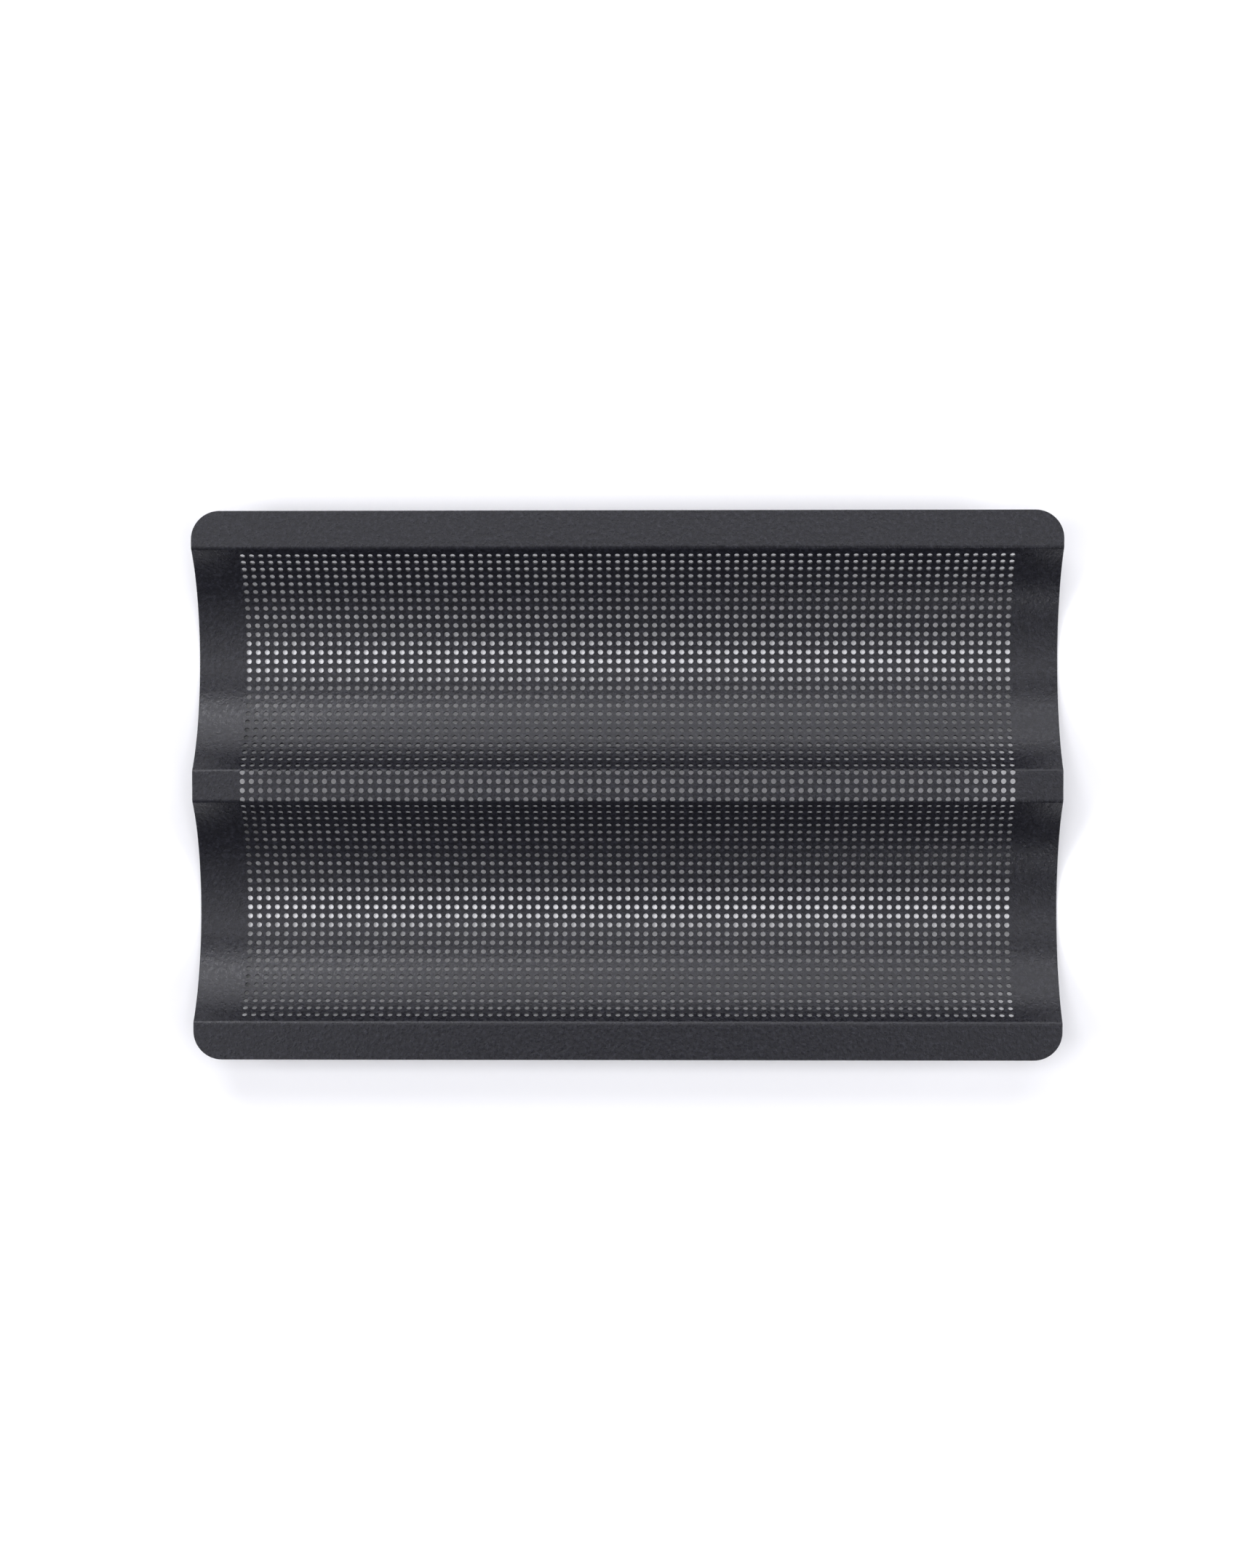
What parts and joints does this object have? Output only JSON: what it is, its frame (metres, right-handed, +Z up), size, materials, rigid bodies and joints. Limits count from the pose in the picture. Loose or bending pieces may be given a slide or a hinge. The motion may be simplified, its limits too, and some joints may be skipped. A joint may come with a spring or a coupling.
{
  "type": "baguette tray",
  "caption": "Perforated sheet-steel baking tray with parallel open-ended troughs for long loaves, a flat ridge between them and flat flanges along the long sides.",
  "frame": {"origin": "centre of the bounding box in plan, at the height of the surface that the tray stands on", "axes": "+X along the troughs, +Y from the front flange to the rear flange, +Z up"},
  "size_m": [0.38, 0.24, 0.0248],
  "materials": {
    "nonstick_coating": "satin, dark charcoal, finely speckled"
  },
  "bodies": {
    "root": {"rear_flange": "nonstick_coating", "rear_trough": "nonstick_coating", "centre_ridge": "nonstick_coating", "front_trough": "nonstick_coating", "front_flange": "nonstick_coating"}
  },
  "joints": []
}
